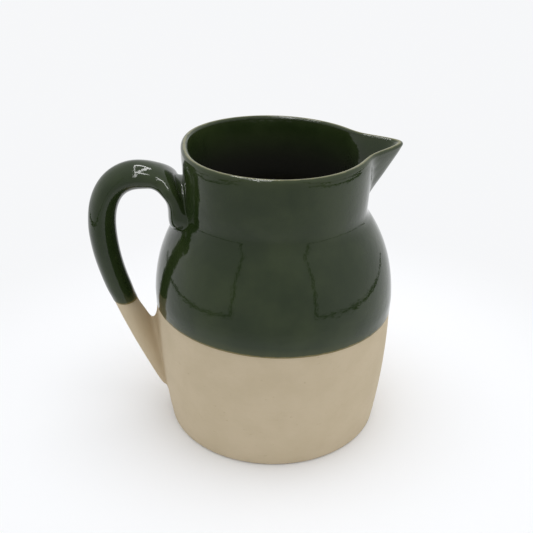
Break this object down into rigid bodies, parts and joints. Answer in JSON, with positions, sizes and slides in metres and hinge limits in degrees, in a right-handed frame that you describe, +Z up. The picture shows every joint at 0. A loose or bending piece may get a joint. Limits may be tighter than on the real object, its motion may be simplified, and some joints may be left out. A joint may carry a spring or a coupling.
{
  "type": "jug",
  "caption": "Round-bellied stoneware pouring jug with a straight neck, drawn beak spout and strap handle, glossy green glaze above a dipping line and bare buff clay below",
  "frame": {"origin": "on the vessel's axis, at the centre of the flat base that the jug stands on", "axes": "+Z up along the vessel's axis, +X out through the spout, -X out through the handle, so the jug is alike on both sides of the XZ plane"},
  "size_m": [0.1747, 0.138, 0.1712],
  "materials": {
    "clay": "bare fired buff stoneware, matt and finely grained",
    "glaze": "glossy dark bottle-green glaze, thinner and olive at the lip"
  },
  "bodies": {
    "root": {"body": "clay", "spout": "clay", "handle": "clay", "outer_glaze": "glaze", "liner_glaze": "glaze", "handle_glaze": "glaze"}
  },
  "joints": []
}
